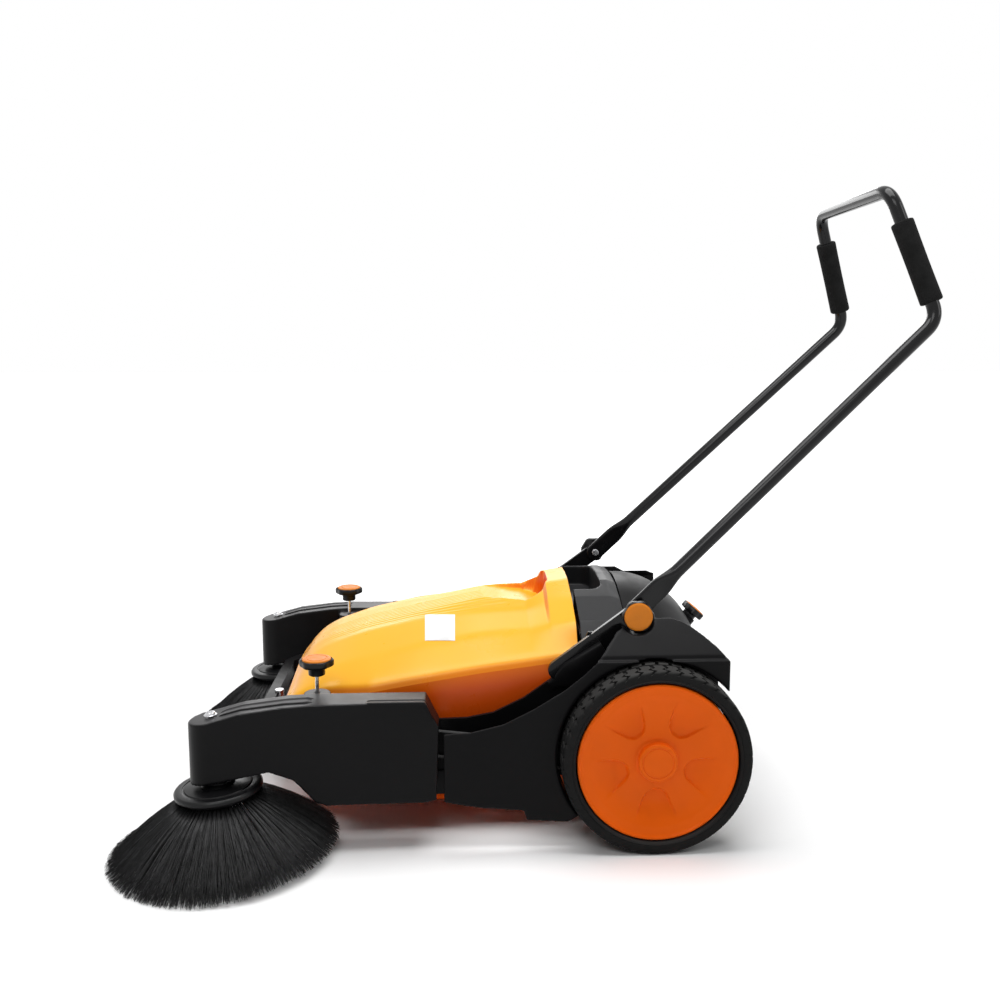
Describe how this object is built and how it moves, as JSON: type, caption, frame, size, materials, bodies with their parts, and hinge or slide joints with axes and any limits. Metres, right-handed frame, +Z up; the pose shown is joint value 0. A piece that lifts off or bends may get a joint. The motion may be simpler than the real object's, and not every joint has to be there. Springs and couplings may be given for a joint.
{
  "type": "walk-behind sweeper",
  "caption": "Push sweeper with a roller brush between ground-driven wheels, side brushes on swinging arms, a lift-out hopper and a folding handle.",
  "frame": {"origin": "on the floor, under the middle of the whole sweeper's box", "axes": "+X forward, +Y to the machine's left, +Z up"},
  "size_m": [1.2972, 0.936, 1.0221],
  "materials": {
    "hopper": "gloss",
    "disc": "satin",
    "cap": "satin",
    "knob": "satin",
    "moulding": "satin",
    "collar": "satin",
    "tube": "gloss black paint",
    "foam": "matte foam",
    "tyre": "matte",
    "steel": "zinc plated",
    "gear": "natural nylon",
    "belt": "matte",
    "bristle": "nylon filaments",
    "rubber": "matte",
    "filter": "pleated felt"
  },
  "bodies": {
    "chassis": {"chassis_frame": "moulding", "rear_cover": "moulding", "filter_housing": "collar", "dust_filter": "filter", "rear_dust_flap": "rubber", "roller_carrier": "steel", "left_side_guard": "moulding", "left_stub_axle": "steel", "left_roller_belt": "belt", "left_handle_bracket": "tube", "right_side_guard": "moulding", "right_stub_axle": "steel", "right_roller_belt": "belt", "right_handle_bracket": "tube"},
    "hopper": {"hopper": "hopper"},
    "left_wheel": {"left_tyre": "tyre", "left_wheel_disc": "disc", "left_hub_cap": "disc", "ring_gear": "gear"},
    "right_wheel": {"right_tyre": "tyre", "right_wheel_disc": "disc", "right_hub_cap": "disc"},
    "idler": {"idler_gear": "gear"},
    "roller": {"roller_core": "steel", "roller_bristles": "bristle", "roller_gear": "gear"},
    "handle": {"handle_frame": "tube", "left_grip": "foam", "right_grip": "foam", "left_clamp_bolt": "steel", "right_clamp_bolt": "steel"},
    "roller_height_knob": {"roller_knob": "knob", "roller_knob_cap": "cap"},
    "castor_swivel": {"castor_fork": "steel"},
    "castor": {"castor_wheel": "rubber"},
    "left_jackshaft": {"left_jackshaft": "steel"},
    "left_arm": {"left_arm_housing": "moulding", "left_brush_belt": "belt"},
    "left_brush": {"left_brush_spindle": "steel", "left_spindle_bolt": "steel", "left_brush_plate": "moulding", "left_brush_bristles": "bristle"},
    "left_height": {"left_height_knob": "knob", "left_height_knob_cap": "cap", "left_height_spindle": "steel"},
    "left_clamp": {"left_clamp_knob": "knob", "left_clamp_knob_cap": "cap"},
    "right_jackshaft": {"right_jackshaft": "steel"},
    "right_arm": {"right_arm_housing": "moulding", "right_brush_belt": "belt"},
    "right_brush": {"right_brush_spindle": "steel", "right_spindle_bolt": "steel", "right_brush_plate": "moulding", "right_brush_bristles": "bristle"},
    "right_height": {"right_height_knob": "knob", "right_height_knob_cap": "cap", "right_height_spindle": "steel"},
    "right_clamp": {"right_clamp_knob": "knob", "right_clamp_knob_cap": "cap"}
  },
  "joints": [
    {"name": "hopper_lift", "type": "slide", "parent": "chassis", "child": "hopper", "axis": [0, 0, 1], "range_m": [0, 0.3]},
    {"name": "left_wheel_spin", "type": "hinge", "parent": "chassis", "child": "left_wheel", "pos_m": [-0.18447, 0.3135, 0.145], "axis": [0, 1, 0], "continuous": true},
    {"name": "right_wheel_spin", "type": "hinge", "parent": "chassis", "child": "right_wheel", "pos_m": [-0.18447, -0.3135, 0.145], "axis": [0, 1, 0], "continuous": true},
    {"name": "idler_spin", "type": "hinge", "parent": "chassis", "child": "idler", "pos_m": [-0.11489, 0.262, 0.11444], "axis": [0, 1, 0], "continuous": true},
    {"name": "roller_spin", "type": "hinge", "parent": "chassis", "child": "roller", "pos_m": [-0.16447, 0, 0.108], "axis": [0, 1, 0], "continuous": true},
    {"name": "handle_fold", "type": "hinge", "parent": "chassis", "child": "handle", "pos_m": [-0.16287, 0, 0.353], "axis": [0, -1, 0], "range_deg": [-120, 12]},
    {"name": "roller_height_knob_turn", "type": "hinge", "parent": "chassis", "child": "roller_height_knob", "pos_m": [-0.28147, 0, 0.258], "axis": [-0.6494, 0, 0.7604], "range_deg": [-360, 360]},
    {"name": "castor_swivel_turn", "type": "hinge", "parent": "chassis", "child": "castor_swivel", "pos_m": [0.43753, 0, 0.06], "axis": [0, 0, 1], "continuous": true},
    {"name": "castor_wheel_spin", "type": "hinge", "parent": "castor_swivel", "child": "castor", "pos_m": [0.41553, 0, 0.0375], "axis": [0, 1, 0], "continuous": true},
    {"name": "left_jackshaft_spin", "type": "hinge", "parent": "chassis", "child": "left_jackshaft", "pos_m": [0.18553, 0.265, 0.15], "axis": [0, 1, 0], "continuous": true},
    {"name": "left_arm_lift", "type": "hinge", "parent": "chassis", "child": "left_arm", "pos_m": [0.18553, 0.293, 0.15], "axis": [0, -1, 0], "range_deg": [-2, 4]},
    {"name": "left_brush_spin", "type": "hinge", "parent": "left_arm", "child": "left_brush", "pos_m": [0.48853, 0.293, 0.215], "axis": [0.0715, 0, 0.9974], "continuous": true},
    {"name": "left_height_knob_turn", "type": "hinge", "parent": "left_arm", "child": "left_height", "pos_m": [0.33553, 0.2395, 0.23], "axis": [0, 0, 1], "range_deg": [-240, 475]},
    {"name": "left_clamp_knob_turn", "type": "hinge", "parent": "chassis", "child": "left_clamp", "pos_m": [-0.16287, 0.26, 0.353], "axis": [0, 1, 0], "range_deg": [0, 720]},
    {"name": "right_jackshaft_spin", "type": "hinge", "parent": "chassis", "child": "right_jackshaft", "pos_m": [0.18553, -0.265, 0.15], "axis": [0, 1, 0], "continuous": true},
    {"name": "right_arm_lift", "type": "hinge", "parent": "chassis", "child": "right_arm", "pos_m": [0.18553, -0.293, 0.15], "axis": [0, -1, 0], "range_deg": [-2, 4]},
    {"name": "right_brush_spin", "type": "hinge", "parent": "right_arm", "child": "right_brush", "pos_m": [0.48853, -0.293, 0.215], "axis": [0.0715, 0, 0.9974], "continuous": true},
    {"name": "right_height_knob_turn", "type": "hinge", "parent": "right_arm", "child": "right_height", "pos_m": [0.33553, -0.2395, 0.23], "axis": [0, 0, 1], "range_deg": [-240, 475]},
    {"name": "right_clamp_knob_turn", "type": "hinge", "parent": "chassis", "child": "right_clamp", "pos_m": [-0.16287, -0.26, 0.353], "axis": [0, -1, 0], "range_deg": [0, 720]}
  ],
  "couplings": [
    {"joint": "idler_spin", "follows": "left_wheel_spin", "ratio": 4.1667},
    {"joint": "roller_spin", "follows": "left_wheel_spin", "ratio": -3.8462},
    {"joint": "left_jackshaft_spin", "follows": "left_wheel_spin", "ratio": -3.8462},
    {"joint": "left_brush_spin", "follows": "left_wheel_spin", "ratio": -3.8462},
    {"joint": "left_height_knob_turn", "follows": "left_arm_lift", "ratio": 117.81},
    {"joint": "right_jackshaft_spin", "follows": "left_wheel_spin", "ratio": -3.8462},
    {"joint": "right_brush_spin", "follows": "left_wheel_spin", "ratio": 3.8462},
    {"joint": "right_height_knob_turn", "follows": "right_arm_lift", "ratio": 117.81}
  ]
}
